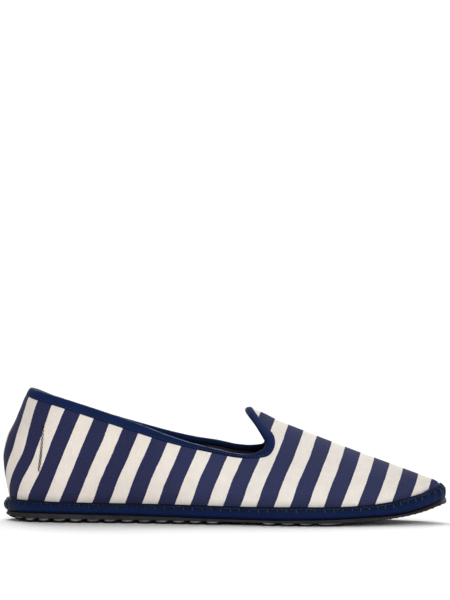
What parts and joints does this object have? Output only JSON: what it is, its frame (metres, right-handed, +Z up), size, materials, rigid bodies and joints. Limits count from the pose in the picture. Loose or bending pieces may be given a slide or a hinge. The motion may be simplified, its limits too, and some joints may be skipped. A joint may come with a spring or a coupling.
{
  "type": "slipper loafer",
  "caption": "Low striped canvas slipper loafer for the right foot, with a pointed vamp, ribbon-bound collar and midsole edge, and a thin tread rubber sole.",
  "frame": {"origin": "on the floor, under the middle of the shoe's box seen from above", "axes": "+X towards the toe, +Y towards the inner side of the foot, +Z up from the floor"},
  "size_m": [0.2642, 0.0868, 0.079],
  "materials": {
    "striped_canvas": "matte",
    "navy_ribbon": "satin",
    "bound_cloth": "matte",
    "tread_rubber": "matte",
    "sock_cloth": "matte"
  },
  "bodies": {
    "root": {"outsole": "tread_rubber", "midsole": "bound_cloth", "upper": "striped_canvas", "collar_binding": "navy_ribbon", "insole": "sock_cloth"}
  },
  "joints": []
}
